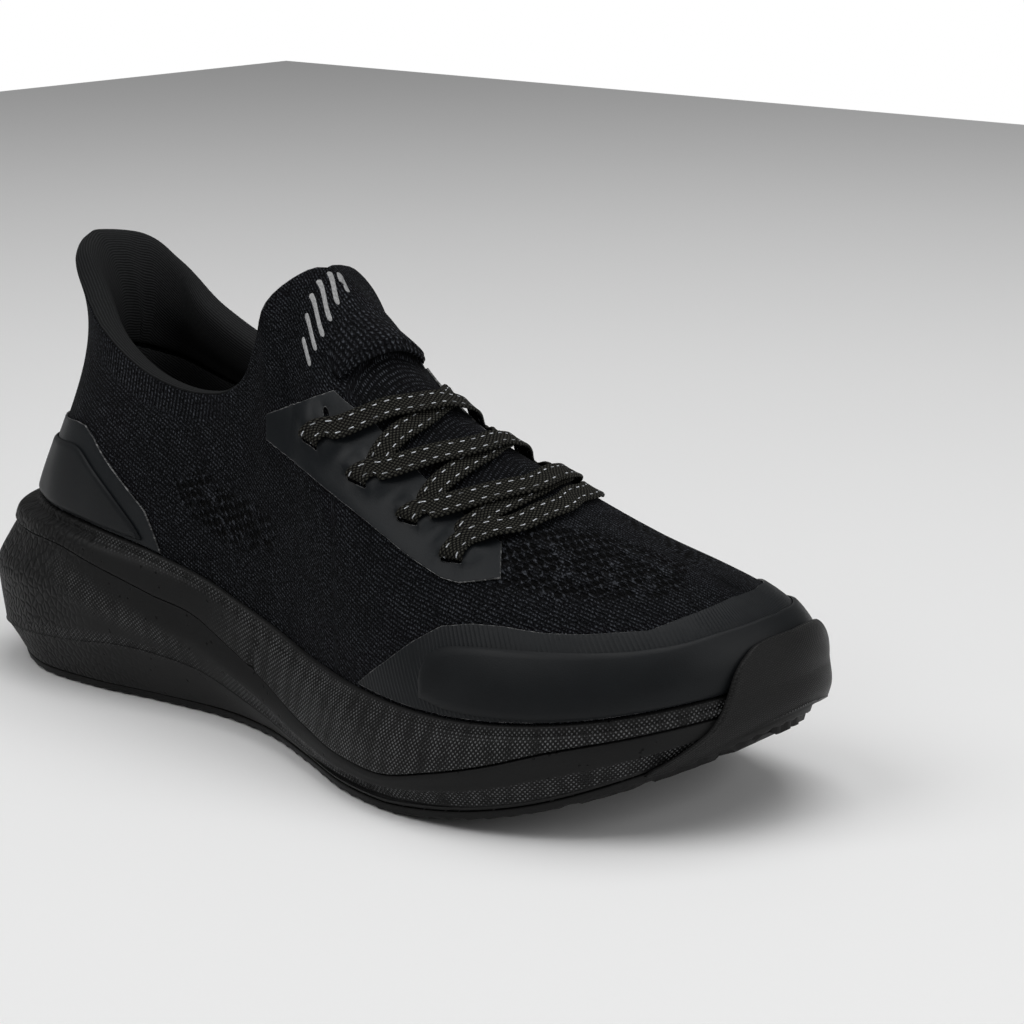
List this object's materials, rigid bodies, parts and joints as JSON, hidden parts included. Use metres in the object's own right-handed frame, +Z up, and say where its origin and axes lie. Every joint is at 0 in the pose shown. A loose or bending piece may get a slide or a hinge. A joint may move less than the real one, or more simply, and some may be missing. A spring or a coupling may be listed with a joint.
{
  "type": "running shoe",
  "caption": "Lace-up running shoe for the right foot with a knit bootie upper, fused films, a two-layer rocker foam sole and a rubber outsole.",
  "frame": {"origin": "middle of the shoe's length and width, on the floor", "axes": "+X towards the toe, +Y towards the inner side of the foot, +Z up"},
  "size_m": [0.3022, 0.1144, 0.1417],
  "materials": {
    "rubber": "moulded, satin",
    "foam": "fine-grained moulded foam",
    "knit": "fine knit",
    "jersey": "smooth jersey",
    "film": "satin film",
    "guard": "satin moulded panel",
    "stiffener": "matt sheet",
    "board": "bonded fibre board",
    "soft_foam": "cloth-faced foam",
    "braid": "flat braid with white flecks"
  },
  "bodies": {
    "shoe": {"outsole": "rubber", "midsole_lower": "foam", "midsole_upper": "foam", "toe_bumper": "rubber", "strobel_board": "board", "knit_upper": "knit", "tongue_welt": "knit", "tongue_lining": "jersey", "toe_cap_film": "film", "toe_guard": "guard", "toe_puff": "stiffener", "heel_film": "film", "heel_guard": "guard", "heel_counter": "stiffener", "eyestay_lateral": "film", "eyestay_medial": "film", "collar_lining": "jersey", "quarter_lining": "jersey", "collar_pad_lateral": "soft_foam", "collar_pad_medial": "soft_foam", "shoelace": "braid"},
    "sockliner": {"sockliner": "soft_foam"}
  },
  "joints": [
    {"name": "sockliner_lift", "type": "hinge", "parent": "shoe", "child": "sockliner", "pos_m": [0.13537, 0, 0.04], "axis": [0, 1, 0], "range_deg": [0, 3]}
  ]
}
